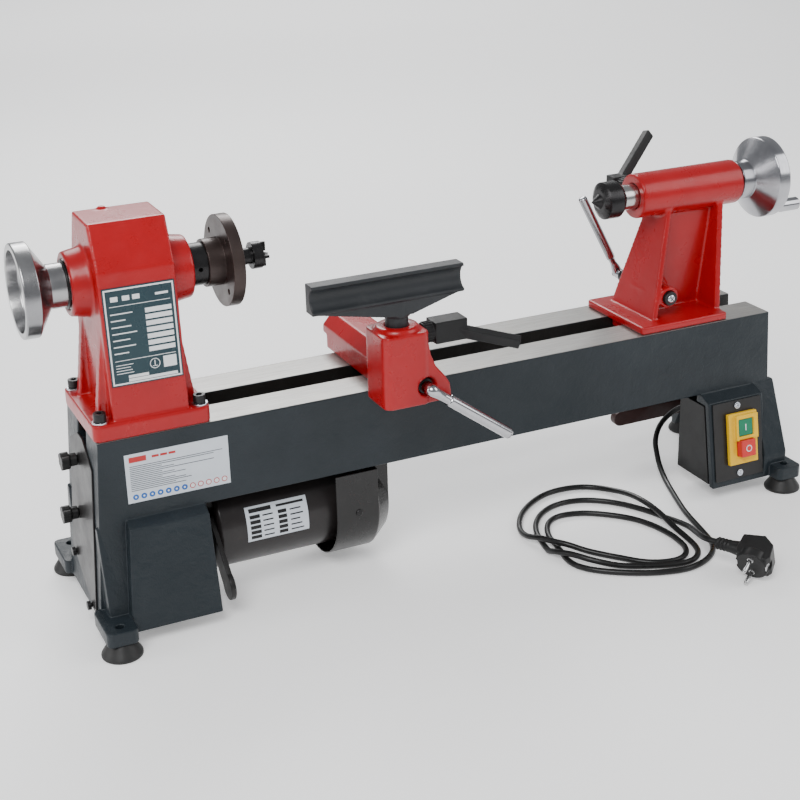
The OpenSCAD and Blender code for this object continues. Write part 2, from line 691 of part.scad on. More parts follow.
module tailstock_casting() color([0.75, 0.07, 0.06]) on_bed() difference() {
    union() {
        rounded_block(tail_base_left, -62, bed_height, tail_base_right - tail_base_left, 124,
            tail_base_t, 4);
        translate([tail_base_left + 8, -slot_width / 2 + fit, bed_height - 12])
            cube([tail_base_right - tail_base_left - 16, slot_width - 2 * fit, 13]);
        rod_x(barrel_left, 0, spindle_z, barrel_right - barrel_left, barrel_r);
        leaning_plate(tail_station - 26, tail_station + 8, 7);
        leaning_plate(tail_station + 64, tail_station + 80, 8);
        // web between the plates and the housing of the cam
        outline_xz(-8, 16, [[tail_station - 24, bed_height + 4],
            [tail_station + 70, bed_height + 4], [tail_station + 85, spindle_z - 10],
            [tail_station + 10, spindle_z - 10]]);
        rod_y(tail_station, -42, tail_cam_z, 84, 13);
        rod_y(tail_station, -14, tail_cam_z, 28, 18.5);
        translate([tail_station - 18.5, -14, bed_height + 4])
            cube([37, 28, tail_cam_z - bed_height - 4]);
        // boss for the quill lock
        rod_y(lock_x, 20, spindle_z, 12, 10);
    }
    rod_x(barrel_left - 1, 0, spindle_z, barrel_right - barrel_left - 5, quill_r + running);
    rod_x(barrel_right - 12, 0, spindle_z, 20, 7);
    rod_y(lock_x, 0, spindle_z, 40, 4 + running);
    rod_y(tail_station, -50, tail_cam_z, 100, cam_r + running);
    // hollow for the eye of the clamp bolt
    translate([tail_station - 15, -10, bed_height - 13])
        cube([30, 20, tail_cam_z - bed_height + 13]);
    rod_y(tail_station, -10, tail_cam_z, 20, 15);
}

module tail_clamp_bolt() color([0.35, 0.35, 0.36]) on_bed() eye_bolt(tail_station, tail_cam_z);

module tail_clamp_plate() color([0.3, 0.3, 0.31]) on_bed() difference() {
    translate([tail_station - 30, -28, bed_height - way_t - 12]) cube([60, 56, 10]);
    translate([tail_station, 0, bed_height - way_t - 13]) cylinder(h = 12, r = 6);
}

module tail_cam_shaft() color([0.7, 0.7, 0.72]) on_bed() {
    rod_y(tail_station, -46, tail_cam_z, 36, cam_r);
    rod_y(tail_station, -10, tail_cam_z + cam_throw, 20, cam_r - 2);
    rod_y(tail_station, 10, tail_cam_z, 48, cam_r);
    rod_y(tail_station, 58, tail_cam_z, 18, 6);
}

module tail_lever() color([0.85, 0.85, 0.87]) on_bed() difference() {
    clamp_lever(tail_station, 70, tail_cam_z, -118, 24, 95, 11);
    rod_y(tail_station, 58, tail_cam_z, 18, 6);
}

crank_y = -24;
crank_z = spindle_z - 33;
quill_left = barrel_left - 18;
quill_right = barrel_left + 84;

module quill() color([0.78, 0.77, 0.75]) on_bed() difference() {
    rod_x(quill_left, 0, spindle_z, quill_right - quill_left, quill_r);
    taper(quill_left, 64, 1, 1);
    rod_x(quill_left + 50, 0, spindle_z, 80, 6.7);
    // keyway on the back for the lock screw
    translate([barrel_left - 6, quill_r - 2, spindle_z - 5]) cube([80, 5, 10]);
}

tip_x = tail_station - 86;

module live_centre_arbor() color([0.66, 0.66, 0.68]) on_bed() {
    taper(quill_left, 48, 1);
    rod_x(tip_x + 36.5, 0, spindle_z, quill_left - tip_x - 36.5, 12.5);
    rod_x(tip_x + 20, 0, spindle_z, 17, 6);
}

module live_centre_head() color([0.07, 0.07, 0.08]) on_bed() difference() {
    turned_x(tip_x, 0, spindle_z, [[0, 0], [0, 0.3], [10, 9], [10, 13], [15, 22], [32, 22],
        [36, 19], [36, 0]]);
    rod_x(tip_x + 18, 0, spindle_z, 20, 6 + running);
}

module tail_leadscrew() color([0.6, 0.6, 0.62]) on_bed() {
    rod_x(quill_left + 64, 0, spindle_z, hub_left + 16 - quill_left - 64, 6);
    rod_x(barrel_right - 5.7, 0, spindle_z, 5.2, 6.9);
}

module right_handwheel() color([0.85, 0.85, 0.87]) on_bed() difference() {
    union() {
        turned_x(hub_left, 0, spindle_z, [[0, 6], [0, 22], [1, 23], [16.5, 23],
            [32, wheel_d / 2 - 1], [33, wheel_d / 2], [47.5, wheel_d / 2],
            [48.5, wheel_d / 2 - 1], [48.5, wheel_d / 2 - 7], [36.5, wheel_d / 2 - 8],
            [34.5, wheel_d / 2 - 10], [21.5, 17], [21.5, 6]]);
        rod_x(hub_left + 33, crank_y, crank_z, 15, 7.5);
    }
    rod_x(hub_left + 36, crank_y, crank_z, 20, 4 + running);
}

module crank_handle() color([0.85, 0.85, 0.87]) on_bed() {
    rod_x(hub_left + 37, crank_y, crank_z, 13, 4);
    rod_x(hub_left + 48.8, crank_y, crank_z, 5, 6, 8);
    rod_x(hub_left + 53.8, crank_y, crank_z, 25, 8);
}

module quill_lock_screw() color([0.78, 0.78, 0.8]) on_bed()
    rod_y(lock_x, quill_r - 1.4, spindle_z, 35, 4);

module quill_lock_handle() color([0.05, 0.05, 0.05]) on_bed()
    translate([lock_x, 34, spindle_z]) rotate([0, 0, 90]) ratchet_handle(70, 50, 18, 84);

// Switch and lead ----------------------------------------------------------

// Places a part on the leg's sloping face: x along the bed, u up the face, -y outward
module on_face(x, u) {
    translate([x, leg_bottom_y, lug_z]) rotate([-face_tilt, 0, 0]) translate([0, 0, u])
        children();
}

module switch_enclosure() color([0.09, 0.09, 0.09]) on_bed() difference() {
    outline_yz(leg_x - 0.5, 68, [[-73, 118], [-90, lug_z + 3], [enclosure_back, lug_z + 3],
        [enclosure_back, 118]]);
    outline_yz(leg_x + 1, 65, [[-70.5, 116.5], [-88, lug_z + 4.5], [enclosure_back - 1.5,
        lug_z + 4.5], [enclosure_back - 1.5, 116.5]]);
    on_face(switch_x - 13, 36) translate([0, 2, 0]) cube([26, 16, 50]);
}

module switch_plate() color([0.06, 0.06, 0.06]) on_bed() difference() {
    on_face(leg_x + 4, 8) translate([0, -2, 0]) cube([71, 2, 99]);
    on_face(switch_x - 13, 36) translate([0, -5, 0]) cube([26, 8, 50]);
}

module switch_screws() color([0.75, 0.77, 0.8]) on_bed()
    for (u = [15, 101]) on_face(switch_x - 5, u) rotate([90, 0, 0]) difference() {
        translate([0, 0, 2]) union() {
            cylinder(h = 2, r = 4.2);
            cylinder(h = 3, r = 3);
        }
        for (a = [0, 90]) rotate([0, 0, a]) translate([-3, -0.5, 4]) cube([6, 1, 3]);
    }

button_w = 21;
button_h = 21;
housing_w = 42;
start_u = 74;
stop_u = 48;

module switch_housing() color([0.95, 0.72, 0.05]) on_bed() on_face(switch_x, 0) difference() {
    union() {
        translate([-22, -8, 27]) cube([housing_w, 6, 65]);
        translate([-14, -13, 58]) cube([32, 6, 32]);
    }
    for (u = [start_u, stop_u]) translate([-button_w / 2 - fit, -30, u - button_h / 2 - fit])
        cube([button_w + 2 * fit, 40, button_h + 2 * fit]);
}

module button(u, height) {
    on_face(switch_x, 0) translate([-button_w / 2, -height, u - button_h / 2])
        cube([button_w, height - 3, button_h]);
}

module start_button() color([0.05, 0.45, 0.25]) on_bed() button(start_u, 12);

module stop_button() color([0.8, 0.1, 0.1]) on_bed() button(stop_u, 17);

module cord_gland() color([0.05, 0.05, 0.05]) on_bed() {
    rod_y(gland_x, enclosure_back, gland_z, 6, 10);
    translate([gland_x, enclosure_back + 6, gland_z]) rotate([-90, 0, 0])
        cylinder(h = -enclosure_back - 6, r1 = 7, r2 = cord_d / 2 + 0.6);
}

brace_x = leg_x - 29;

module rear_brace() color([0.2, 0.08, 0.07]) on_bed() {
    translate([brace_x, half_width, 46]) cube([flare_x - brace_x, 11, 20]);
    rod_y(brace_x, half_width, 56, 11, 10);
}

// Places a part in the plug's own directions: x away from the lead, -y along the pins
module on_plug() {
    translate(plug_face) rotate([0, 0, plug_turn]) rotate([plug_tilt, 0, 0]) children();
}

module plug_body() color([0.05, 0.05, 0.05]) on_plug() difference() {
    union() {
        rod_y(0, 0, 0, 12, 18.8);
        translate([0, 0, -14.5]) linear_extrude(29) polygon([[-18, 3], [17, 3], [20, 9],
            [17, 26], [4, 36], [-20, 31], [-20, 9]]);
        rod_x(-38, sleeve_back, 0, 22, 6.5, 9.5);
        for (x = [-48:4:-36]) rod_x(x, sleeve_back, 0, 2.4, 7.5);
        rod_x(-sleeve_reach, sleeve_back, 0, 14, 6);
    }
    // recesses for the earth contacts
    for (x = [-20, 16.5]) translate([x, -1, -4.5]) cube([3.5, 14, 9]);
    for (z = [-9.5, 9.5]) rod_y(0, 0, z, 8, 2.4);
}

module plug_pins() color([0.8, 0.79, 0.74]) on_plug() for (z = [-9.5, 9.5]) {
    rod_y(0, -17, z, 25, 2.4);
    rod_y(0, -19, z, 2.1, 1.9);
}

// Ring of points round the route at one of its points
cord_sides = 8;
function unit(v) = v / norm(v);
function route_dir(i) = unit(cord_route[min(i + 1, len(cord_route) - 1)]
    - cord_route[max(i - 1, 0)]);
function ring(i) = let (d = i == 0 ? [0, 1, 0] : route_dir(i),
    side = unit(cross(d, abs(d[2]) > 0.95 ? [1, 0, 0] : [0, 0, 1])), up = cross(side, d))
    [for (k = [0:cord_sides - 1]) let (a = (k + 0.5) * 360 / cord_sides)
        cord_route[i] + cord_d / 2 * (cos(a) * side + sin(a) * up)];

module power_cord() color([0.05, 0.05, 0.05]) {
    n = len(cord_route);
    points = [for (i = [0:n - 1]) each ring(i)];
    sides = [for (i = [0:n - 2], k = [0:cord_sides - 1]) let (m = (k + 1) % cord_sides)
        [i * cord_sides + k, i * cord_sides + m, (i + 1) * cord_sides + m,
            (i + 1) * cord_sides + k]];
    polyhedron(points, concat(sides, [[for (k = [cord_sides - 1:-1:0]) k]],
        [[for (k = [0:cord_sides - 1]) (n - 1) * cord_sides + k]]), convexity = 10);
}

bed();
rubber_feet();
headstock_casting();
headstock_bolts();
headstock_washers();
data_plate();
bearing_outer_races();
bearing_inner_races();
bearing_balls();
spindle();
spindle_pulley();
left_handwheel();
faceplate();
spur_centre();
belt_cover();
cover_knob_upper();
cover_knob_lower();
cover_screws();
motor_bracket();
motor_plate();
motor_housing();
motor_shaft();
motor_pulley();
drive_belt();
tension_lever();
motor_bolts();
motor_guard();
banjo_clamp_plate();
banjo_clamp_bolt();
banjo_casting();
banjo_cam_shaft();
banjo_lever();
rest_stem();
tool_rest();
rest_lock_screw();
rest_lock_handle();
tailstock_casting();
tail_clamp_bolt();
tail_clamp_plate();
tail_cam_shaft();
tail_lever();
quill();
live_centre_arbor();
live_centre_head();
tail_leadscrew();
right_handwheel();
crank_handle();
quill_lock_screw();
quill_lock_handle();
switch_enclosure();
switch_plate();
switch_screws();
switch_housing();
start_button();
stop_button();
rear_brace();
cord_gland();
power_cord();
plug_body();
plug_pins();
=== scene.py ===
import json
import math

import bmesh
import bpy
from mathutils import Matrix, Vector


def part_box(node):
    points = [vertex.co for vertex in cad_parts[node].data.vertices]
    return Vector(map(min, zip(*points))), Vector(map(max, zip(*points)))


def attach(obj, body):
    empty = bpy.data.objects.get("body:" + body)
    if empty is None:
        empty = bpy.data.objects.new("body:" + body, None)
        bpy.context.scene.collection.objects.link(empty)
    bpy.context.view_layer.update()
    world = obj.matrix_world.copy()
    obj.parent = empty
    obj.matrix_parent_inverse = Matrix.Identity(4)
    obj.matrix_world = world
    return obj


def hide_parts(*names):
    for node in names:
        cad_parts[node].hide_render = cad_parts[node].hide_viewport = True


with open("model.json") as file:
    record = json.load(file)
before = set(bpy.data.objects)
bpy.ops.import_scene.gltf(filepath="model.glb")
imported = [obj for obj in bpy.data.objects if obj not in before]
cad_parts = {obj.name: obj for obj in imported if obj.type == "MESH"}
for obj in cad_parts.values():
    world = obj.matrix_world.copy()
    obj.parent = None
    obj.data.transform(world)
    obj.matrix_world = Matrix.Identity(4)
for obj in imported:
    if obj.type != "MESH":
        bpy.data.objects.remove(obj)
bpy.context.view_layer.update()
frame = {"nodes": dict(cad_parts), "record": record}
BODY_OF = {}
for body_name, node_names in frame["record"]["behaviour"]["bodies"].items():
    for node_name in node_names:
        BODY_OF[node_name] = body_name
scene = bpy.context.scene
MM = 0.001
LEFT = -0.42  # the bed's left end in the frame, in metres
LEFT_MM = -420
BANJO_STATION = 342  # millimetres from the bed's left end
TAIL_STATION = 707
SPINDLE_Z = 0.374
MOTOR_Z = 0.075


# Camera ---------------------------------------------------------------------

LENS_MM = 68.33
SENSOR_MM = 36
CAMERA_PLACE = (-0.727, -1.4722, 0.8427)
CAMERA_RIGHT = (0.9045, -0.4259, -0.0242)
CAMERA_BACK = (-0.3854, -0.8403, 0.3813)


def add_camera():
    data = bpy.data.cameras.new("camera")
    data.lens = LENS_MM
    data.sensor_width = SENSOR_MM
    data.clip_start = 0.05
    camera = bpy.data.objects.new("camera", data)
    scene.collection.objects.link(camera)
    right = Vector(CAMERA_RIGHT).normalized()
    back = Vector(CAMERA_BACK)
    back = (back - right * back.dot(right)).normalized()
    up = back.cross(right)
    turn = Matrix((right, up, back)).transposed().to_4x4()
    camera.matrix_world = Matrix.Translation(CAMERA_PLACE) @ turn
    scene.camera = camera


add_camera()


# Node helpers ----------------------------------------------------------------

class Tree:
    """A material's node tree, with short calls for the nodes used here."""

    def __init__(self, name):
        self.mat = bpy.data.materials.new(name)
        self.mat.use_nodes = True
        self.tree = self.mat.node_tree
        self.bsdf = self.tree.nodes["Principled BSDF"]
        self.place = self.add("ShaderNodeTexCoord").outputs["Object"]

    def add(self, kind, **settings):
        node = self.tree.nodes.new(kind)
        for key, value in settings.items():
            setattr(node, key, value)
        return node

    def link(self, value, socket):
        if isinstance(value, bpy.types.NodeSocket):
            self.tree.links.new(value, socket)
        elif isinstance(value, (tuple, list)) and len(value) == 3 and socket.type == "RGBA":
            socket.default_value = (*value, 1)
        else:
            socket.default_value = value

    def math(self, kind, a, b=0.0, c=0.0):
        node = self.add("ShaderNodeMath", operation=kind)
        for socket, value in zip(node.inputs, (a, b, c)):
            self.link(value, socket)
        return node.outputs[0]

    def noise(self, scale, detail=4.0, rough=0.55, where=None, twist=0.0):
        node = self.add("ShaderNodeTexNoise")
        self.link(where or self.place, node.inputs["Vector"])
        node.inputs["Scale"].default_value = scale
        node.inputs["Detail"].default_value = detail
        node.inputs["Roughness"].default_value = rough
        node.inputs["Distortion"].default_value = twist
        return node.outputs["Fac"]

    def ramp(self, value, low, high, a=0.0, b=1.0):
        node = self.add("ShaderNodeMapRange", interpolation_type="SMOOTHSTEP")
        self.link(value, node.inputs["Value"])
        for name, number in (("From Min", low), ("From Max", high), ("To Min", a), ("To Max", b)):
            node.inputs[name].default_value = number
        return node.outputs["Result"]

    def mix(self, amount, a, b):
        node = self.add("ShaderNodeMix", data_type="RGBA")
        self.link(amount, node.inputs[0])
        self.link(a, node.inputs[6])
        self.link(b, node.inputs[7])
        return node.outputs[2]

    def blend(self, amount, a, b):
        node = self.add("ShaderNodeMix", data_type="FLOAT")
        self.link(amount, node.inputs[0])
        self.link(a, node.inputs[2])
        self.link(b, node.inputs[3])
        return node.outputs[0]

    def stretch(self, x, y, z):
        node = self.add("ShaderNodeMapping")
        self.link(self.place, node.inputs["Vector"])
        node.inputs["Scale"].default_value = (x, y, z)
        return node.outputs["Vector"]

    def split(self, vector):
        node = self.add("ShaderNodeSeparateXYZ")
        self.link(vector, node.inputs[0])
        return node.outputs

    def join(self, x, y, z):
        node = self.add("ShaderNodeCombineXYZ")
        for socket, value in zip(node.inputs, (x, y, z)):
            self.link(value, socket)
        return node.outputs[0]

    def turned(self, y, z, scale):
        """Fine rings round an axis along X, as a lathe tool leaves."""
        x, py, pz = self.split(self.place)
        dy = self.math("SUBTRACT", py, y)
        dz = self.math("SUBTRACT", pz, z)
        r = self.math("SQRT", self.math("ADD", self.math("MULTIPLY", dy, dy),
                                        self.math("MULTIPLY", dz, dz)))
        where = self.join(self.math("MULTIPLY", x, scale), self.math("MULTIPLY", r, scale), 0.0)
        return self.noise(1.0, 3.0, 0.7, where)

    def edges(self, radius):
        """1 on outer edges, 0 on flat faces."""
        bevel = self.add("ShaderNodeBevel", samples=4)
        bevel.inputs["Radius"].default_value = radius
        geometry = self.add("ShaderNodeNewGeometry")
        dot = self.add("ShaderNodeVectorMath", operation="DOT_PRODUCT")
        self.link(bevel.outputs[0], dot.inputs[0])
        self.link(geometry.outputs["Normal"], dot.inputs[1])
        return self.ramp(dot.outputs["Value"], 0.97, 0.8)

    def bump(self, height, strength, depth, under=None):
        node = self.add("ShaderNodeBump")
        node.inputs["Strength"].default_value = strength
        node.inputs["Distance"].default_value = depth
        self.link(height, node.inputs["Height"])
        if under:
            self.link(under, node.inputs["Normal"])
        return node.outputs["Normal"]

    def finish(self, colour, rough, normal=None, metal=0.0, coat=0.0, ior=1.5):
        self.link(colour, self.bsdf.inputs["Base Color"])
        self.link(rough, self.bsdf.inputs["Roughness"])
        self.link(metal, self.bsdf.inputs["Metallic"])
        self.bsdf.inputs["IOR"].default_value = ior
        self.bsdf.inputs["Coat Weight"].default_value = coat
        self.bsdf.inputs["Coat Roughness"].default_value = 0.08
        if normal:
            self.link(normal, self.bsdf.inputs["Normal"])
        return self.mat


def paint(name, colour, shade, rough, coat, peel=0.12, lumps=0.25, edge=(0.2, 0.2, 0.2),
          edge_amount=0.35, lump_scale=90):
    t = Tree(name)
    patch = t.ramp(t.noise(9, 5), 0.3, 0.75)
    fine = t.noise(600, 2)
    body = t.mix(patch, colour, shade)
    wear = t.math("MULTIPLY", t.edges(0.0011), t.ramp(t.noise(240, 6, 0.7), 0.5, 0.66))
    body = t.mix(t.math("MULTIPLY", wear, edge_amount), body, edge)
    dust = t.math("MULTIPLY", t.ramp(t.noise(45, 8, 0.7), 0.5, 0.85), 0.02)
    body = t.mix(dust, body, (0.5, 0.47, 0.43))
    roughness = t.ramp(t.noise(28, 6, 0.65), 0.25, 0.8, rough[0], rough[1])
    normal = t.bump(t.noise(lump_scale, 4, 0.6), lumps, 0.0012)
    normal = t.bump(fine, peel, 0.0002, normal)
    return t.finish(body, roughness, normal, 0.0, coat, 1.4)


def metal(name, colour, shade, rough, rings=None, grain=0.2, patch=14, edge=None, edge_amount=0.5,
          ring_scale=2500, metallic=1.0):
    t = Tree(name)
    body = t.mix(t.ramp(t.noise(patch, 6, 0.6), 0.3, 0.72), colour, shade)
    streak = t.turned(rings[0], rings[1], ring_scale) if rings else t.noise(
        1, 4, 0.7, t.stretch(60, 900, 900))
    body = t.mix(t.math("MULTIPLY", t.ramp(streak, 0.35, 0.7), 0.25), body, shade)
    if edge:
        wear = t.math("MULTIPLY", t.edges(0.0008), t.ramp(t.noise(300, 5, 0.7), 0.42, 0.6))
        body = t.mix(t.math("MULTIPLY", wear, edge_amount), body, edge)
    smear = t.ramp(t.noise(35, 7, 0.7), 0.3, 0.75, rough[0], rough[1])
    normal = t.bump(streak, grain, 0.00012)
    return t.finish(body, smear, normal, metallic)


def plastic(name, colour, shade, rough, grain=0.18, grain_scale=900, edge=(0.12, 0.12, 0.12)):
    t = Tree(name)
    body = t.mix(t.ramp(t.noise(22, 5), 0.3, 0.7), colour, shade)
    wear = t.math("MULTIPLY", t.edges(0.0008), t.ramp(t.noise(200, 5, 0.7), 0.5, 0.65))
    body = t.mix(t.math("MULTIPLY", wear, 0.35), body, edge)
    roughness = t.ramp(t.noise(50, 6, 0.7), 0.3, 0.75, rough[0], rough[1])
    return t.finish(body, roughness, t.bump(t.noise(grain_scale, 3), grain, 0.00015), ior=1.36)


def bed_material():
    """Lumpy dark paint with bare ground ways on the top face."""
    t = Tree("bed_paint")
    geometry = t.add("ShaderNodeNewGeometry")
    height = t.split(t.place)[2]
    facing = t.split(geometry.outputs["True Normal"])[2]
    ground = t.math("MULTIPLY", t.ramp(height, 0.2212, 0.2216), t.ramp(facing, 0.6, 0.9))
    slot_side = t.math("MULTIPLY", t.ramp(height, 0.2055, 0.2065), t.ramp(t.math(
        "ABSOLUTE", t.split(t.place)[1]), 0.0172, 0.0170))
    colour = t.mix(t.ramp(t.noise(8, 5), 0.3, 0.75), (0.011, 0.016, 0.02), (0.017, 0.023, 0.028))
    wear = t.math("MULTIPLY", t.edges(0.0012), t.ramp(t.noise(160, 6, 0.7), 0.48, 0.66))
    colour = t.mix(t.math("MULTIPLY", wear, 0.4), colour, (0.09, 0.1, 0.11))
    colour = t.mix(slot_side, colour, (0.012, 0.011, 0.01))
    lines = t.noise(1, 4, 0.75, t.stretch(26, 1700, 30))
    steel = t.mix(t.ramp(lines, 0.3, 0.72), (0.38, 0.375, 0.36), (0.25, 0.245, 0.235))
    steel = t.mix(t.math("MULTIPLY", t.ramp(t.noise(30, 7, 0.7), 0.5, 0.8), 0.35), steel,
                  (0.4, 0.36, 0.31))
    colour = t.mix(ground, colour, steel)
    rough = t.blend(ground, t.ramp(t.noise(24, 6, 0.65), 0.3, 0.75, 0.3, 0.5),
                    t.ramp(lines, 0.3, 0.8, 0.36, 0.5))
    lumps = t.bump(t.noise(75, 5, 0.6, twist=0.4), 0.8, 0.0014)
    lumps = t.bump(t.noise(420, 3, 0.6), 0.28, 0.0004, lumps)
    flat = t.bump(lines, 0.12, 0.0001)
    normals = t.add("ShaderNodeMix", data_type="VECTOR")
    t.link(ground, normals.inputs[0])
    t.link(lumps, normals.inputs[4])
    t.link(flat, normals.inputs[5])
    return t.finish(colour, rough, normals.outputs[1], t.math("MULTIPLY", ground, 0.92), 0.0, 1.36)


RED = paint("red_paint", (0.36, 0.0025, 0.006), (0.29, 0.002, 0.0045), (0.24, 0.38), 0.12, 0.06, 0.32,
            (0.52, 0.05, 0.045), 0.35, 60)
BED = bed_material()
BLACK_PAINT = paint("black_paint", (0.009, 0.0085, 0.0085), (0.013, 0.012, 0.012), (0.32, 0.48), 0.1,
                    0.2, 0.18, (0.1, 0.1, 0.1), 0.4)
MOTOR_PAINT = paint("motor_paint", (0.01, 0.008, 0.008), (0.015, 0.012, 0.012), (0.28, 0.42), 0.15,
                    0.16, 0.12, (0.09, 0.08, 0.08), 0.4)
GUARD_PAINT = paint("guard_paint", (0.006, 0.0055, 0.0055), (0.009, 0.0085, 0.0085), (0.24, 0.36), 0.2,
                    0.14, 0.1, (0.07, 0.07, 0.07), 0.35)
BROWN_PAINT = paint("brown_paint", (0.045, 0.014, 0.012), (0.03, 0.01, 0.009), (0.35, 0.5), 0.1,
                    0.2, 0.25, (0.12, 0.06, 0.05), 0.3)
REST_PAINT = paint("rest_paint", (0.02, 0.022, 0.025), (0.014, 0.016, 0.018), (0.38, 0.52), 0.0,
                   0.3, 0.4, (0.2, 0.2, 0.2), 0.5, 140)
STEEL_TURNED = metal("turned_steel", (0.5, 0.5, 0.5), (0.3, 0.3, 0.31), (0.18, 0.3),
                     (0.0, SPINDLE_Z), 0.07)
CHROME = metal("chrome", (0.52, 0.52, 0.54), (0.36, 0.36, 0.38), (0.08, 0.18), None, 0.05)
CHROME_WHEEL = metal("chrome_wheel", (0.46, 0.46, 0.48), (0.27, 0.27, 0.29), (0.14, 0.26),
                     (0.0, SPINDLE_Z), 0.05)
QUILL_STEEL = metal("quill_steel", (0.55, 0.54, 0.53), (0.42, 0.41, 0.4), (0.16, 0.3),
                    (0.0, SPINDLE_Z), 0.25)
BRIGHT = metal("bright_steel", (0.6, 0.6, 0.6), (0.45, 0.45, 0.45), (0.2, 0.34), None, 0.15)
ZINC = metal("zinc", (0.66, 0.68, 0.72), (0.52, 0.55, 0.6), (0.2, 0.34), None, 0.15, 60)
ALLOY = metal("pulley_alloy", (0.62, 0.63, 0.64), (0.5, 0.5, 0.51), (0.28, 0.42),
              (0.0, SPINDLE_Z), 0.35)
OXIDE = metal("black_oxide", (0.03, 0.029, 0.03), (0.018, 0.017, 0.018), (0.22, 0.36),
              (0.0, SPINDLE_Z), 0.25, 30, (0.2, 0.2, 0.2), 0.5, 2500, 0.7)
BROWN_BLACK = metal("brown_oxide", (0.062, 0.043, 0.038), (0.04, 0.028, 0.026), (0.3, 0.44),
                    (0.0, SPINDLE_Z), 0.35, 24, (0.2, 0.16, 0.14), 0.5, 2200, 0.6)
BOLT_BLACK = metal("bolt_black", (0.028, 0.027, 0.028), (0.016, 0.016, 0.017), (0.3, 0.42), None,
                   0.2, 60, (0.18, 0.18, 0.18), 0.6, 2500, 0.6)
DARK_CAST = metal("dark_cast", (0.12, 0.12, 0.12), (0.08, 0.08, 0.08), (0.4, 0.55), None, 0.4, 60,
                  (0.25, 0.25, 0.25), 0.5, 2500, 0.6)
BLACK_PLASTIC = plastic("black_plastic", (0.008, 0.008, 0.008), (0.012, 0.012, 0.012),
                        (0.34, 0.48))
HANDLE_BLACK = plastic("handle_black", (0.006, 0.006, 0.0065), (0.01, 0.01, 0.0105),
                       (0.42, 0.56), 0.35, 1400)
RUBBER = plastic("rubber", (0.014, 0.014, 0.014), (0.02, 0.02, 0.02), (0.4, 0.56), 0.25, 700)
BELT = plastic("belt_rubber", (0.014, 0.013, 0.012), (0.022, 0.02, 0.02), (0.6, 0.75), 0.5, 1600)
SHEATH = plastic("cable_sheath", (0.009, 0.009, 0.009), (0.014, 0.014, 0.014), (0.26, 0.36),
                 0.1, 1200)
YELLOW = plastic("yellow_plastic", (0.86, 0.52, 0.012), (0.78, 0.45, 0.01), (0.2, 0.3), 0.06,
                 900, (0.9, 0.65, 0.2))
GREEN = plastic("green_plastic", (0.008, 0.2, 0.1), (0.006, 0.16, 0.08), (0.16, 0.26), 0.06, 900,
                (0.1, 0.35, 0.2))
RED_PLASTIC = plastic("red_plastic", (0.62, 0.035, 0.03), (0.54, 0.03, 0.026), (0.16, 0.26), 0.06,
                      900, (0.75, 0.2, 0.2))
PLATE_TEAL = plastic("plate_teal", (0.016, 0.038, 0.048), (0.02, 0.045, 0.055), (0.22, 0.34),
                     0.05, 800, (0.1, 0.14, 0.15))
PRINT_WHITE = plastic("print_white", (0.72, 0.74, 0.75), (0.66, 0.68, 0.69), (0.3, 0.42), 0.05,
                      800, (0.8, 0.8, 0.8))
LABEL_GREY = plastic("label_grey", (0.6, 0.64, 0.69), (0.54, 0.58, 0.63), (0.3, 0.42), 0.05, 800,
                     (0.7, 0.7, 0.7))
INK_GREY = plastic("ink_grey", (0.1, 0.11, 0.13), (0.08, 0.09, 0.1), (0.4, 0.5), 0.05)
INK_BLUE = plastic("ink_blue", (0.02, 0.14, 0.45), (0.02, 0.1, 0.36), (0.35, 0.45), 0.05)
INK_RED = plastic("ink_red", (0.5, 0.03, 0.03), (0.42, 0.03, 0.03), (0.35, 0.45), 0.05)


# Pieces made from the CAD solids ------------------------------------------------

def solid_copy(node):
    """A cleaned copy of a CAD node's mesh, in the frame's own coordinates."""
    source = frame["nodes"][node]
    mesh = source.data.copy()
    mesh.transform(source.matrix_world)
    work = bmesh.new()
    work.from_mesh(mesh)
    bmesh.ops.remove_doubles(work, verts=work.verts, dist=2e-6)
    bmesh.ops.dissolve_limit(work, angle_limit=math.radians(0.6), verts=work.verts,
                             edges=work.edges)
    bmesh.ops.recalc_face_normals(work, faces=work.faces)
    work.to_mesh(mesh)
    work.free()
    mesh.materials.clear()
    piece = bpy.data.objects.new("v_" + node, mesh)
    scene.collection.objects.link(piece)
    return piece


def settle(piece, material, body):
    piece.data.materials.append(material)
    for face in piece.data.polygons:
        face.use_smooth = True
    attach(piece, body)
    return piece


def machined(node, material, width=0.6, segments=2, angle=32):
    """A copy with small even edge breaks."""
    piece = solid_copy(node)
    settle(piece, material, BODY_OF[node])
    bevel = piece.modifiers.new("edge_break", "BEVEL")
    bevel.width = width * MM
    bevel.segments = segments
    bevel.limit_method = "ANGLE"
    bevel.angle_limit = math.radians(angle)
    bevel.use_clamp_overlap = False
    bevel.harden_normals = True
    bevel.miter_outer = "MITER_ARC"
    even = piece.modifiers.new("even_shading", "WEIGHTED_NORMAL")
    even.keep_sharp = True
    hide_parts(node)
    return piece


def cast(node, material, grain=1.6, passes=6):
    """A copy with the rounded edges and filled corners of a casting."""
    piece = solid_copy(node)
    settle(piece, material, BODY_OF[node])
    remesh = piece.modifiers.new("skin", "REMESH")
    remesh.mode = "VOXEL"
    remesh.voxel_size = grain * MM
    remesh.use_smooth_shade = True
    smooth = piece.modifiers.new("rounding", "SMOOTH")
    smooth.factor = 0.5
    smooth.iterations = passes
    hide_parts(node)
    return piece


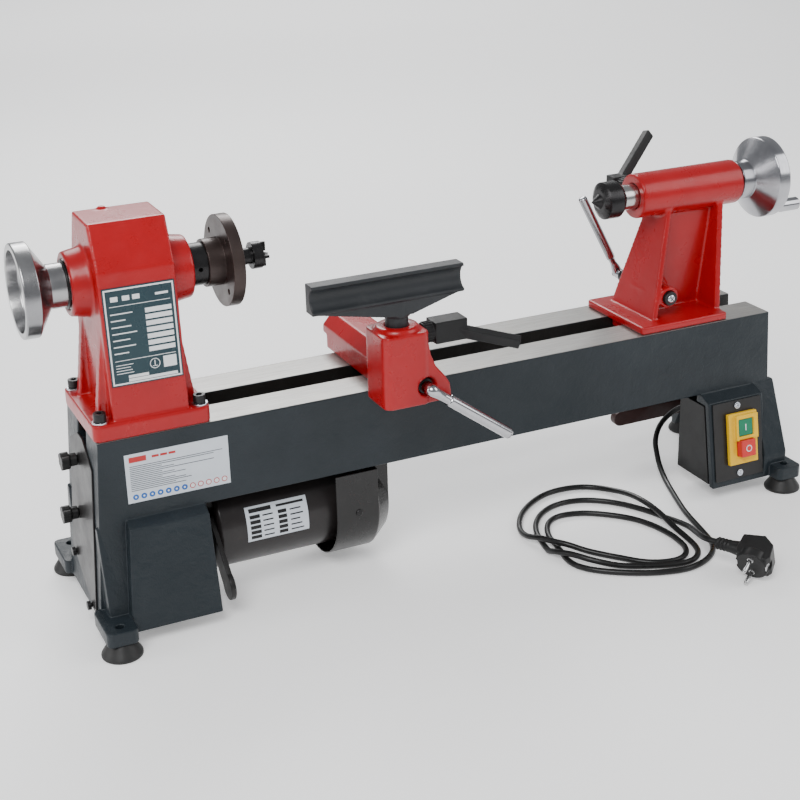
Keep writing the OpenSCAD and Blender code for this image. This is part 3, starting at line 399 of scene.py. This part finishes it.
CAST = {
    "headstock_casting": (RED, 1.5, 7), "banjo_casting": (RED, 1.2, 9),
    "tailstock_casting": (RED, 1.3, 7), "tool_rest": (REST_PAINT, 1.0, 5),
    "rest_lock_handle": (HANDLE_BLACK, 0.8, 7), "quill_lock_handle": (HANDLE_BLACK, 0.8, 7),
    "plug_body": (BLACK_PLASTIC, 0.7, 4), "cover_knob_upper": (BLACK_PLASTIC, 0.6, 3),
    "cover_knob_lower": (BLACK_PLASTIC, 0.6, 3), "motor_guard": (GUARD_PAINT, 1.0, 4),
}
MACHINED = {
    "bed": (BED, 1.4), "rubber_feet": (RUBBER, 0.8), "headstock_bolts": (BOLT_BLACK, 0.5),
    "headstock_washers": (ZINC, 0.3), "data_plate": (PLATE_TEAL, 0.25),
    "bearing_outer_races": (BRIGHT, 0.4), "bearing_inner_races": (BRIGHT, 0.4),
    "bearing_balls": (CHROME, 0.05), "spindle": (OXIDE, 0.5), "spindle_pulley": (ALLOY, 0.5),
    "left_handwheel": (STEEL_TURNED, 0.7), "faceplate": (BROWN_BLACK, 0.6),
    "spur_centre": (OXIDE, 0.4), "belt_cover": (BLACK_PAINT, 0.5),
    "cover_screws": (BOLT_BLACK, 0.5), "motor_bracket": (BLACK_PAINT, 0.6),
    "motor_plate": (BLACK_PAINT, 0.5), "motor_housing": (MOTOR_PAINT, 1.2),
    "motor_shaft": (BRIGHT, 0.5), "motor_pulley": (ALLOY, 0.5), "drive_belt": (BELT, 0.4),
    "tension_lever": (BLACK_PAINT, 0.8), "motor_bolts": (ZINC, 0.5),
    "banjo_clamp_plate": (DARK_CAST, 0.8), "banjo_clamp_bolt": (BOLT_BLACK, 0.5),
    "banjo_cam_shaft": (BOLT_BLACK, 0.5), "rest_stem": (REST_PAINT, 0.6), "rest_lock_screw": (ZINC, 0.4),
    "tail_clamp_bolt": (BOLT_BLACK, 0.5), "tail_clamp_plate": (DARK_CAST, 0.8),
    "tail_cam_shaft": (BOLT_BLACK, 0.5), "quill": (QUILL_STEEL, 0.5),
    "live_centre_arbor": (BRIGHT, 0.4), "live_centre_head": (OXIDE, 0.5),
    "tail_leadscrew": (BRIGHT, 0.3), "right_handwheel": (CHROME_WHEEL, 0.7),
    "crank_handle": (CHROME, 0.8), "quill_lock_screw": (ZINC, 0.4),
    "switch_enclosure": (BLACK_PLASTIC, 0.8), "switch_plate": (BLACK_PAINT, 0.4),
    "switch_screws": (ZINC, 0.25), "switch_housing": (YELLOW, 1.0),
    "start_button": (GREEN, 1.0), "stop_button": (RED_PLASTIC, 1.0),
    "rear_brace": (BROWN_PAINT, 1.0), "cord_gland": (BLACK_PLASTIC, 0.6),
    "plug_pins": (BRIGHT, 0.5),
}
for node, (material, grain, passes) in CAST.items():
    cast(node, material, grain, passes)
for node, (material, width) in MACHINED.items():
    machined(node, material, width)


# Mains lead -----------------------------------------------------------------------

CORD_D = 0.007
PER_SPAN = 6  # points made for each stretch between two given ones
ROUTE_MM = [
    (372, 0, 80), (371, 14, 79), (367, 28, 73), (358, 39, 63), (346, 42, 52), (335, 38, 42),
    (325, 28, 32), (318, 14, 23), (311, -4, 13), (304, -26, 6), (296, -50, 3.5),
    (284, -84, 3.5), (275, -112, 3.5), (268, -142, 3.5), (262, -170, 3.5), (256, -192, 3.5),
    (246, -208, 3.5), (232, -220, 3.5), (214, -228, 3.5), (194, -231, 3.5), (172, -227, 3.5),
    (148, -218, 3.5), (122, -203, 3.5), (100, -185, 3.5), (88, -167, 3.5), (86, -148, 3.5),
    (90, -128, 3.5), (93, -110, 3.5), (96, -92, 3.5), (103, -75, 3.5), (113, -61, 3.5),
    (127, -52, 3.5), (144, -51, 3.5), (167, -59, 3.5), (190, -77, 3.5), (209, -99, 3.5),
    (220, -124, 3.5), (225, -150, 3.5), (225, -170, 3.5), (222, -187, 3.5), (213, -201, 3.5),
    (198, -208, 3.5), (178, -205, 3.5), (158, -193, 3.5), (138, -170, 3.5), (116, -147, 5.5),
    (98, -130, 10.6), (86, -115, 11.4), (77, -100, 10.8), (72, -82, 6), (74, -62, 3.5),
    (84, -41, 3.5), (101, -20, 3.5), (126, -1, 3.5), (155, 11, 3.5), (186, 11, 3.5),
    (211, 0, 3.5), (228, -22, 5), (236, -50, 9), (238, -82, 11.4), (238, -114, 10.2),
    (237, -143, 6.5), (237, -170, 4), (234, -191, 3.5), (226, -207, 3.5), (211, -217, 3.5),
    (190, -217, 3.5), (160, -206, 3.5), (130, -191, 4.5), (105, -174, 9.4), (90, -155, 11.4),
    (80, -137, 9), (78, -120, 3.5), (82, -98, 3.5), (88, -76, 3.5), (99, -55, 3.5),
    (117, -36, 3.5), (140, -24, 3.5), (165, -22, 3.5), (190, -31, 3.5), (214, -52, 3.5),
    (232, -80, 3.5), (243, -108, 3.5), (248, -136, 7), (245, -162, 13), (238, -184, 18.5),
    (232, -203, 23), (230.5, -218, 26), (235, -230.4, 27),
]


def smooth_line(points, steps):
    """Points along a smooth curve through the given ones."""
    p = [Vector(q) * MM for q in points]
    ends = [p[0] * 2 - p[1]] + p + [p[-1] * 2 - p[-2]]
    line = []
    for i in range(1, len(ends) - 2):
        a, b, c, d = ends[i - 1:i + 3]
        for k in range(steps):
            t = k / steps
            line.append(0.5 * (2 * b + (c - a) * t + (2 * a - 5 * b + 4 * c - d) * t * t
                               + (3 * b - a - 3 * c + d) * t ** 3))
    line.append(p[-1])
    return line


def sweep(name, line, radii, sides=20):
    """A tube along a line, with one radius for each of its points."""
    work = bmesh.new()
    rings = []
    side = None
    for i, point in enumerate(line):
        ahead = (line[min(i + 1, len(line) - 1)] - line[max(i - 1, 0)]).normalized()
        side = side or ahead.orthogonal()
        side = (side - ahead * side.dot(ahead)).normalized()
        up = ahead.cross(side)
        rings.append([work.verts.new(point + radii[i] * (math.cos(a) * side + math.sin(a) * up))
                      for a in (math.tau * k / sides for k in range(sides))])
    for one, two in zip(rings, rings[1:]):
        for k in range(sides):
            work.faces.new((one[k], one[(k + 1) % sides], two[(k + 1) % sides], two[k]))
    work.faces.new(rings[0][::-1])
    work.faces.new(rings[-1])
    bmesh.ops.recalc_face_normals(work, faces=work.faces)
    mesh = bpy.data.meshes.new(name)
    work.to_mesh(mesh)
    work.free()
    piece = bpy.data.objects.new(name, mesh)
    scene.collection.objects.link(piece)
    return piece


cord_line = smooth_line(ROUTE_MM, PER_SPAN)
for point in cord_line:
    point.z = max(point.z, CORD_D / 2)
lead = sweep("v_power_cord", cord_line, [CORD_D / 2] * len(cord_line))
settle(lead, SHEATH, "base")
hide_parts("power_cord")


# Clamp levers -----------------------------------------------------------------------

def clamp_lever(node, centre, out, angle, length, radius):
    """A chromed rod whose thin neck bends off the end of its cam shaft."""
    turn = math.radians(90 + angle)
    along = Vector((math.sin(turn), 0, math.cos(turn)))
    centre = Vector(centre)
    shaft = Vector((0, out, 0))
    neck = radius - 1.5
    steps = [(centre - shaft * 12, 6.7), (centre - shaft * 3, 6.7),
             (centre + shaft * 0.5 + along, 6.6), (centre + along * 9, 5.6),
             (centre + along * 17, neck), (centre + along * 24, neck),
             (centre + along * 27, radius - 0.2), (centre + along * 32, radius),
             (centre + along * (length - 12), radius), (centre + along * (length - 3), radius),
             (centre + along * (length - 1), radius - 0.9),
             (centre + along * length, radius - 2.6)]
    line = smooth_line([p for p, r in steps], PER_SPAN)
    radii = []
    for (p, a), (q, b) in zip(steps, steps[1:]):
        radii += [(a + (b - a) * k / PER_SPAN) * MM for k in range(PER_SPAN)]
    radii.append(steps[-1][1] * MM)
    lever = sweep("v_" + node, line, radii, 32)
    settle(lever, CHROME, BODY_OF[node])
    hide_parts(node)


clamp_lever("banjo_lever", (LEFT_MM + BANJO_STATION, -138, 241), -1, 36.5, 118, 6.5)
clamp_lever("tail_lever", (LEFT_MM + TAIL_STATION, 70, 255), 1, -118, 119, 5.5)


# Added detail ---------------------------------------------------------------------

LEAST_BREAK = 0.00003  # the least edge break of an added piece, in metres
RING_SIDES = ((0, 1, 3, 2), (4, 6, 7, 5), (0, 4, 5, 1), (2, 3, 7, 6))


class Build:
    """Collects simple solids into one piece."""

    def __init__(self, name, material, body, slot=None, bevel=0.0):
        self.name, self.material, self.body, self.slot = name, material, body, slot
        self.bevel = bevel
        self.work = bmesh.new()
        self.turn = Matrix.Identity(4)

    def add(self, verts, faces):
        made = [self.work.verts.new(self.turn @ Vector(v)) for v in verts]
        for face in faces:
            self.work.faces.new([made[i] for i in face])
        return self

    def block(self, low, high):
        (a, b, c), (d, e, f) = low, high
        verts = [(x, y, z) for x in (a, d) for y in (b, e) for z in (c, f)]
        return self.add(verts, [(0, 1, 3, 2), (4, 6, 7, 5), (0, 4, 5, 1), (2, 3, 7, 6),
                                (0, 2, 6, 4), (1, 5, 7, 3)])

    def lathe(self, start, direction, profile, sides=48):
        """A solid turned about a line: profile is (distance, radius) in metres."""
        axis = Vector(direction).normalized()
        side = axis.orthogonal().normalized()
        up = axis.cross(side)
        rings = []
        for distance, radius in profile:
            centre = Vector(start) + axis * distance
            rings.append([self.work.verts.new(self.turn @ (
                centre + max(radius, 1e-5) * (math.cos(a) * side + math.sin(a) * up)))
                for a in (math.tau * k / sides for k in range(sides))])
        for one, two in zip(rings, rings[1:]):
            for k in range(sides):
                self.work.faces.new((one[k], one[(k + 1) % sides], two[(k + 1) % sides], two[k]))
        self.work.faces.new(rings[0][::-1])
        self.work.faces.new(rings[-1])
        return self

    def rod(self, start, end, radius, sides=32):
        start, end = Vector(start), Vector(end)
        length = (end - start).length
        edge = min(radius * 0.15, length * 0.2)
        return self.lathe(start, end - start, [(0, radius - edge), (edge, radius),
                                               (length - edge, radius), (length, radius - edge)],
                          sides)

    def ring(self, centre, radii, depths, sides, upright=False):
        """A flat ring in the local x, y plane, or in x, z where it is upright."""
        for k in range(sides):
            a, b = math.tau * k / sides, math.tau * (k + 1) / sides
            spots = [(centre[0] + r * math.cos(g), centre[1] + r * math.sin(g), t)
                     for t in depths for g in (a, b) for r in radii]
            self.add([(u, t, v) if upright else (u, v, t) for u, v, t in spots], RING_SIDES)
        return self

    def done(self):
        bmesh.ops.recalc_face_normals(self.work, faces=self.work.faces)
        mesh = bpy.data.meshes.new(self.name)
        self.work.to_mesh(mesh)
        self.work.free()
        piece = bpy.data.objects.new(self.name, mesh)
        scene.collection.objects.link(piece)
        settle(piece, self.material, self.body)
        bevel = piece.modifiers.new("edge_break", "BEVEL")
        bevel.width = max(self.bevel, LEAST_BREAK)
        bevel.segments = 2
        bevel.limit_method = "ANGLE"
        bevel.angle_limit = math.radians(40)
        bevel.harden_normals = True
        return piece


def plate_frame(origin, right, up):
    """Local (right, up, out) directions of a flat sign as a matrix."""
    right, up = Vector(right).normalized(), Vector(up).normalized()
    out = right.cross(up)
    turn = Matrix((right, up, out)).transposed().to_4x4()
    return Matrix.Translation(origin) @ turn


def headstock_plate():
    low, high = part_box("data_plate")
    up = Vector((0, 10, 156)).normalized()
    width = high[0] - low[0]
    tall = (high[2] - low[2]) / up.z
    place = plate_frame((low[0], low[1], low[2]), (1, 0, 0), up)
    white = Build("v_plate_print", PRINT_WHITE, "base", "print_plate")
    white.turn = place
    t0, t1 = -0.0001, 0.0002  # the print's depth, from just under the face
    edge, line = 0.0014, 0.0016  # the border's inset and its width
    text_x = 0.0062

    def bar(x0, y0, x1, y1):
        white.block((x0, y0, t0), (x1, y1, t1))

    bar(edge, edge, width - edge, edge + line)
    bar(edge, tall - edge - line, width - edge, tall - edge)
    bar(edge, edge + line, edge + line, tall - edge - line)
    bar(width - edge - line, edge + line, width - edge, tall - edge - line)
    bar(0.006, tall - 0.0195, width - 0.006, tall - 0.0189)
    bar(0.006, 0.0262, width - 0.006, 0.0268)
    for row in range(7):
        y = 0.0315 + row * 0.0068
        bar(width * 0.56, y, width - 0.0055, y + 0.0048)
        bar(text_x, y + 0.0022, text_x + width * (0.2 + 0.035 * ((row * 3) % 5)), y + 0.0034)
    # heading: a row of blank bars in place of a name
    for k, share in enumerate((0.0, 0.16, 0.3)):
        bar(0.008 + width * share, tall - 0.0142, 0.008 + width * (share + 0.1), tall - 0.0092)
    bar(width * 0.72, tall - 0.0132, width * 0.9, tall - 0.0108)
    for row in range(4):
        bar(text_x, 0.0128 + row * 0.0029, text_x + width * (0.24 - 0.02 * (row % 3)),
            0.0135 + row * 0.0029)
    bar(width * 0.74, 0.0125, width - 0.0058, 0.0242)
    bar(width * 0.24, 0.0072, width * 0.52, 0.0102)
    bar(width * 0.24, 0.0036, width - 0.0058, 0.0066)
    white.done()
    ring = Build("v_plate_mark", PRINT_WHITE, "base", "print_plate")
    ring.turn = place
    mark_x = width * 0.62
    ring.ring((mark_x, 0.0183), (0.0047, 0.0054), (t0, t1), 28)
    ring.block((mark_x - 0.0004, 0.0158, t0), (mark_x + 0.0004, 0.0218, t1))
    ring.block((mark_x - 0.0026, 0.0154, t0), (mark_x + 0.0026, 0.0160, t1))
    ring.done()


def apron_sign():
    place = plate_frame((LEFT + 0.026, -0.064, 0.1485), (1, 0, 0), (0, 0, 1))
    w, h = 0.112, 0.055
    margin = 0.0045
    sheet = Build("v_apron_sign", LABEL_GREY, "base", "print_plate")
    sheet.turn = place
    sheet.block((0, 0, -0.0002), (w, h, 0.0003))
    sheet.done()
    ink = Build("v_apron_lines", INK_GREY, "base", "print_plate")
    ink.turn = place
    for row in range(14):
        y = h - 0.0145 - row * 0.0021
        length = w * (0.42 + 0.13 * math.sin(row * 2.1) + (0.28 if row in (1, 4, 11) else 0))
        if row == 0:
            length = w * 0.9
        ink.block((margin, y, 0.0003), (margin + length, y + 0.0008, 0.0004))
    ink.done()
    red = Build("v_apron_red", INK_RED, "base", "print_plate")
    red.turn = place
    red.block((margin, h - 0.0095, 0.0003), (0.023, h - 0.0035, 0.0004))
    for k in range(3):
        red.block((0.029 + k * 0.009, h - 0.0078, 0.0003), (0.0365 + k * 0.009, h - 0.0052, 0.0004))
    blue = Build("v_apron_blue", INK_BLUE, "base", "print_plate")
    blue.turn = place
    for k in range(12):
        centre = (0.0085 + k * 0.0088, 0.0062, 0.0003)
        (blue if k < 7 else red).lathe(centre, (0, 0, 1), [(0, 0.0032), (0.0001, 0.0032)], 24)
    inner = Build("v_apron_dots", PRINT_WHITE, "base", "print_plate")
    inner.turn = place
    for k in range(12):
        centre = (0.0085 + k * 0.0088, 0.0062, 0.0004)
        inner.lathe(centre, (0, 0, 1), [(0, 0.0023 if k > 6 else 0.0011),
                                        (0.00008, 0.0023 if k > 6 else 0.0011)], 20)
    for piece in (red, blue, inner):
        piece.done()


def motor_sign():
    radius = 0.0522
    x0, x1 = LEFT + 0.157, LEFT + 0.229
    proud = 0.00042  # the marks' height above the housing
    sign = Build("v_motor_sign", LABEL_GREY, "motor_cradle", "zinc_steel")
    marks = Build("v_motor_marks", BLACK_PLASTIC, "motor_cradle", "black_plastic")

    def strip(piece, xa, xb, a0, a1, out):
        steps = max(2, int((a1 - a0) / 4))
        verts = []
        for k in range(steps + 1):
            a = math.radians(a0 + (a1 - a0) * k / steps)
            for r in (radius - 0.0006, radius + out):
                for x in (xa, xb):
                    verts.append((x, -r * math.cos(a), MOTOR_Z + r * math.sin(a)))
        faces = []
        for k in range(steps):
            i = 4 * k
            faces += [(i, i + 4, i + 5, i + 1), (i + 2, i + 3, i + 7, i + 6),
                      (i, i + 2, i + 6, i + 4), (i + 1, i + 5, i + 7, i + 3)]
        i = 4 * steps
        faces += [(0, 1, 3, 2), (i, i + 2, i + 3, i + 1)]
        piece.add(verts, faces)

    strip(sign, x0, x1, -10, 34, 0.0003)
    strip(marks, x0 + 0.004, x0 + 0.03, 26, 31, proud)
    strip(marks, x0 + 0.036, x0 + 0.068, 27, 30, proud)
    for row in range(5):
        a = -7 + row * 6.4
        for xa, xb in ((0.004, 0.016), (0.037, 0.047)):
            strip(marks, x0 + xa, x0 + xb, a, a + 4.4, proud)
        for xa, xb in ((0.019, 0.031), (0.051, 0.066 - 0.002 * (row % 3))):
            strip(marks, x0 + xa, x0 + xb, a + 1.3, a + 3, proud)
    sign.done()
    marks.done()


def handle_details(name, centre, axis, body):
    """The serrated ring of a ratchet handle."""
    axis = Vector(axis)
    side = axis.orthogonal().normalized()
    up = axis.cross(side)
    ring = Build(name + "_teeth", HANDLE_BLACK, body, "black_plastic")
    teeth = 20
    for k in range(teeth):
        a = math.tau * k / teeth
        out = math.cos(a) * side + math.sin(a) * up
        base = Vector(centre) + axis * 0.002 + out * 0.0108
        ring.rod(base, base + axis * 0.009, 0.0011, 10)
    ring.done()


def switch_details():
    tilt = math.radians(9.55)
    up = (0, math.sin(tilt), math.cos(tilt))
    x_mid = LEFT + 0.744 + 0.044
    place = plate_frame((x_mid, -0.1, 0.017), (1, 0, 0), up)
    marks = Build("v_start_mark", PRINT_WHITE, "start_key", "green_plastic")
    marks.turn = place
    marks.block((-0.0007, 0.070, 0.012), (0.0007, 0.078, 0.0122))
    marks.done()
    ring = Build("v_stop_mark", PRINT_WHITE, "stop_key", "red_plastic")
    ring.turn = place
    ring.ring((0, 0.048), (0.0031, 0.0043), (0.017, 0.0172), 28)
    ring.done()


def bearing_ring():
    cap = Build("v_bearing_ring", BLACK_PLASTIC, "base", "black_plastic")
    x = LEFT - 0.001
    sides = 64
    rings = []
    for dx, r in ((0, 0.0255), (-0.0011, 0.0255), (-0.0014, 0.0245), (-0.0014, 0.0195), (0, 0.0195)):
        rings.append([(x + dx, r * math.cos(math.tau * k / sides),
                       SPINDLE_Z + r * math.sin(math.tau * k / sides)) for k in range(sides)])
    verts = [v for r in rings for v in r]
    faces = []
    for i in range(len(rings)):
        j = (i + 1) % len(rings)
        for k in range(sides):
            m = (k + 1) % sides
            faces.append((i * sides + k, i * sides + m, j * sides + m, j * sides + k))
    cap.add(verts, faces).done()


def earth_contacts():
    turn = Matrix.Rotation(math.radians(-60), 4, "Z") @ Matrix.Rotation(math.radians(22), 4, "X")
    place = Matrix.Translation((0.242, -0.283, 0.0195)) @ turn
    clips = Build("v_earth_contacts", BRIGHT, "base", "bright_steel", 0.0003)
    clips.turn = place
    for sign in (-1, 1):
        clips.block((sign * 0.0166 - 0.0006, 0.0008, -0.003), (sign * 0.0166 + 0.0006, 0.0118, 0.003))
    clips.done()
    plate = Build("v_plug_face", BRIGHT, "base", "bright_steel", 0.0002)
    plate.turn = place
    for z in (-0.0095, 0.0095):
        plate.ring((0, z), (0.0027, 0.0036), (-0.0003, 0.0004), 24, upright=True)
    plate.done()


def cross_screw(name, centre, out, body, radius, slot, material):
    """A pan-head screw. The thin dark cross laid on its head is painted shade in place of the shaded
    cross recess.
    """
    out = Vector(out).normalized()
    head = Build(name, material, body, slot, 0.0002)
    head.lathe(Vector(centre) - out * 0.0006, out, [
        (0, radius), (0.0012, radius), (0.0022, radius * 0.82), (0.0026, radius * 0.5)], 40)
    head.done()
    # painted shade: a dark cross block on the head stands where the recess would lie in shade
    cross = Build(name + "_cross_recess_shade", BELT, body, "rubber")
    side = out.orthogonal().normalized()
    cross.turn = plate_frame(Vector(centre) + out * 0.0019, side, out.cross(side))
    cross.block((-radius * 0.55, -radius * 0.12, 0), (radius * 0.55, radius * 0.12, 0.0002))
    cross.block((-radius * 0.12, -radius * 0.55, 0.00002), (radius * 0.12, radius * 0.55, 0.00024))
    cross.done()


def small_screws():
    cross_screw("v_guard_screw", (LEFT + 0.285, -0.065, 0.078), (0, -1, 0), "base", 0.0042,
                "black_steel", BOLT_BLACK)
    cross_screw("v_tail_screw", (LEFT + 0.707, -0.046, 0.255), (0, -1, 0), "tail_cam", 0.005,
                "bright_steel", ZINC)
    cross_screw("v_quill_screw", (LEFT + 0.693, 0.064, 0.374), (0, 1, 0), "quill_lock_grip",
                0.0045, "zinc_steel", ZINC)
    cross_screw("v_rest_screw", (LEFT + 0.398, -0.102, 0.293), (1, 0, 0), "rest_lock_grip",
                0.0045, "zinc_steel", ZINC)


small_screws()
headstock_plate()
apron_sign()
motor_sign()
handle_details("v_rest_handle", (LEFT + 0.348, -0.102, 0.293), (1, 0, 0), "rest_lock_grip")
handle_details("v_quill_handle", (LEFT + 0.693, 0.034, 0.374), (0, 1, 0), "quill_lock_grip")
switch_details()
bearing_ring()
earth_contacts()


# Stage ------------------------------------------------------------------------------

FLOOR_HALF = 9.0
FLOOR_DROP = 0.0003  # the floor lies just under the feet
FLOOR_GLOW = 0.3
SKY_STRENGTH = 0.4
LAMPS = (  # name, place, aim, diameter in metres, watts
    ("key", (-1.3, -1.5, 2.2), (0, 0, 0.2), 1.5, 62),
    ("fill", (1.9, -1.2, 1.5), (0, 0, 0.2), 1.8, 26),
    ("rim", (0.2, 2.0, 1.9), (0, 0, 0.2), 1.8, 36),
    ("side", (-2.2, 0.3, 0.9), (-0.3, 0, 0.25), 1.1, 15),
    ("far", (1.4, 4.2, 3.2), (1.6, 4.6, 0), 3.0, 150),
)


def add_stage():
    floor_mesh = bpy.data.meshes.new("floor")
    size = FLOOR_HALF
    floor_mesh.from_pydata([(-size, -size, 0), (size, -size, 0), (size, size, 0),
                            (-size, size, 0)], [], [(0, 1, 2, 3)])
    floor = bpy.data.objects.new("floor", floor_mesh)
    floor.location.z = -FLOOR_DROP
    scene.collection.objects.link(floor)
    t = Tree("floor_paper")
    colour = t.mix(t.noise(2, 3), (0.87, 0.87, 0.87), (0.9, 0.9, 0.9))
    t.bsdf.inputs["Emission Color"].default_value = (1, 1, 1, 1)
    t.bsdf.inputs["Emission Strength"].default_value = FLOOR_GLOW
    floor_mesh.materials.append(t.finish(colour, 0.75))
    for name, place, aim, size_m, power in LAMPS:
        data = bpy.data.lights.new(name, "AREA")
        data.shape = "DISK"
        data.size = size_m
        data.energy = power
        lamp = bpy.data.objects.new(name, data)
        lamp.location = place
        lamp.rotation_euler = (Vector(aim) - Vector(place)).to_track_quat("-Z", "Y").to_euler()
        scene.collection.objects.link(lamp)
    world = bpy.data.worlds.new("studio")
    world.use_nodes = True
    world.node_tree.nodes["Background"].inputs["Color"].default_value = (0.95, 0.97, 1.0, 1)
    world.node_tree.nodes["Background"].inputs["Strength"].default_value = SKY_STRENGTH
    scene.world = world


add_stage()
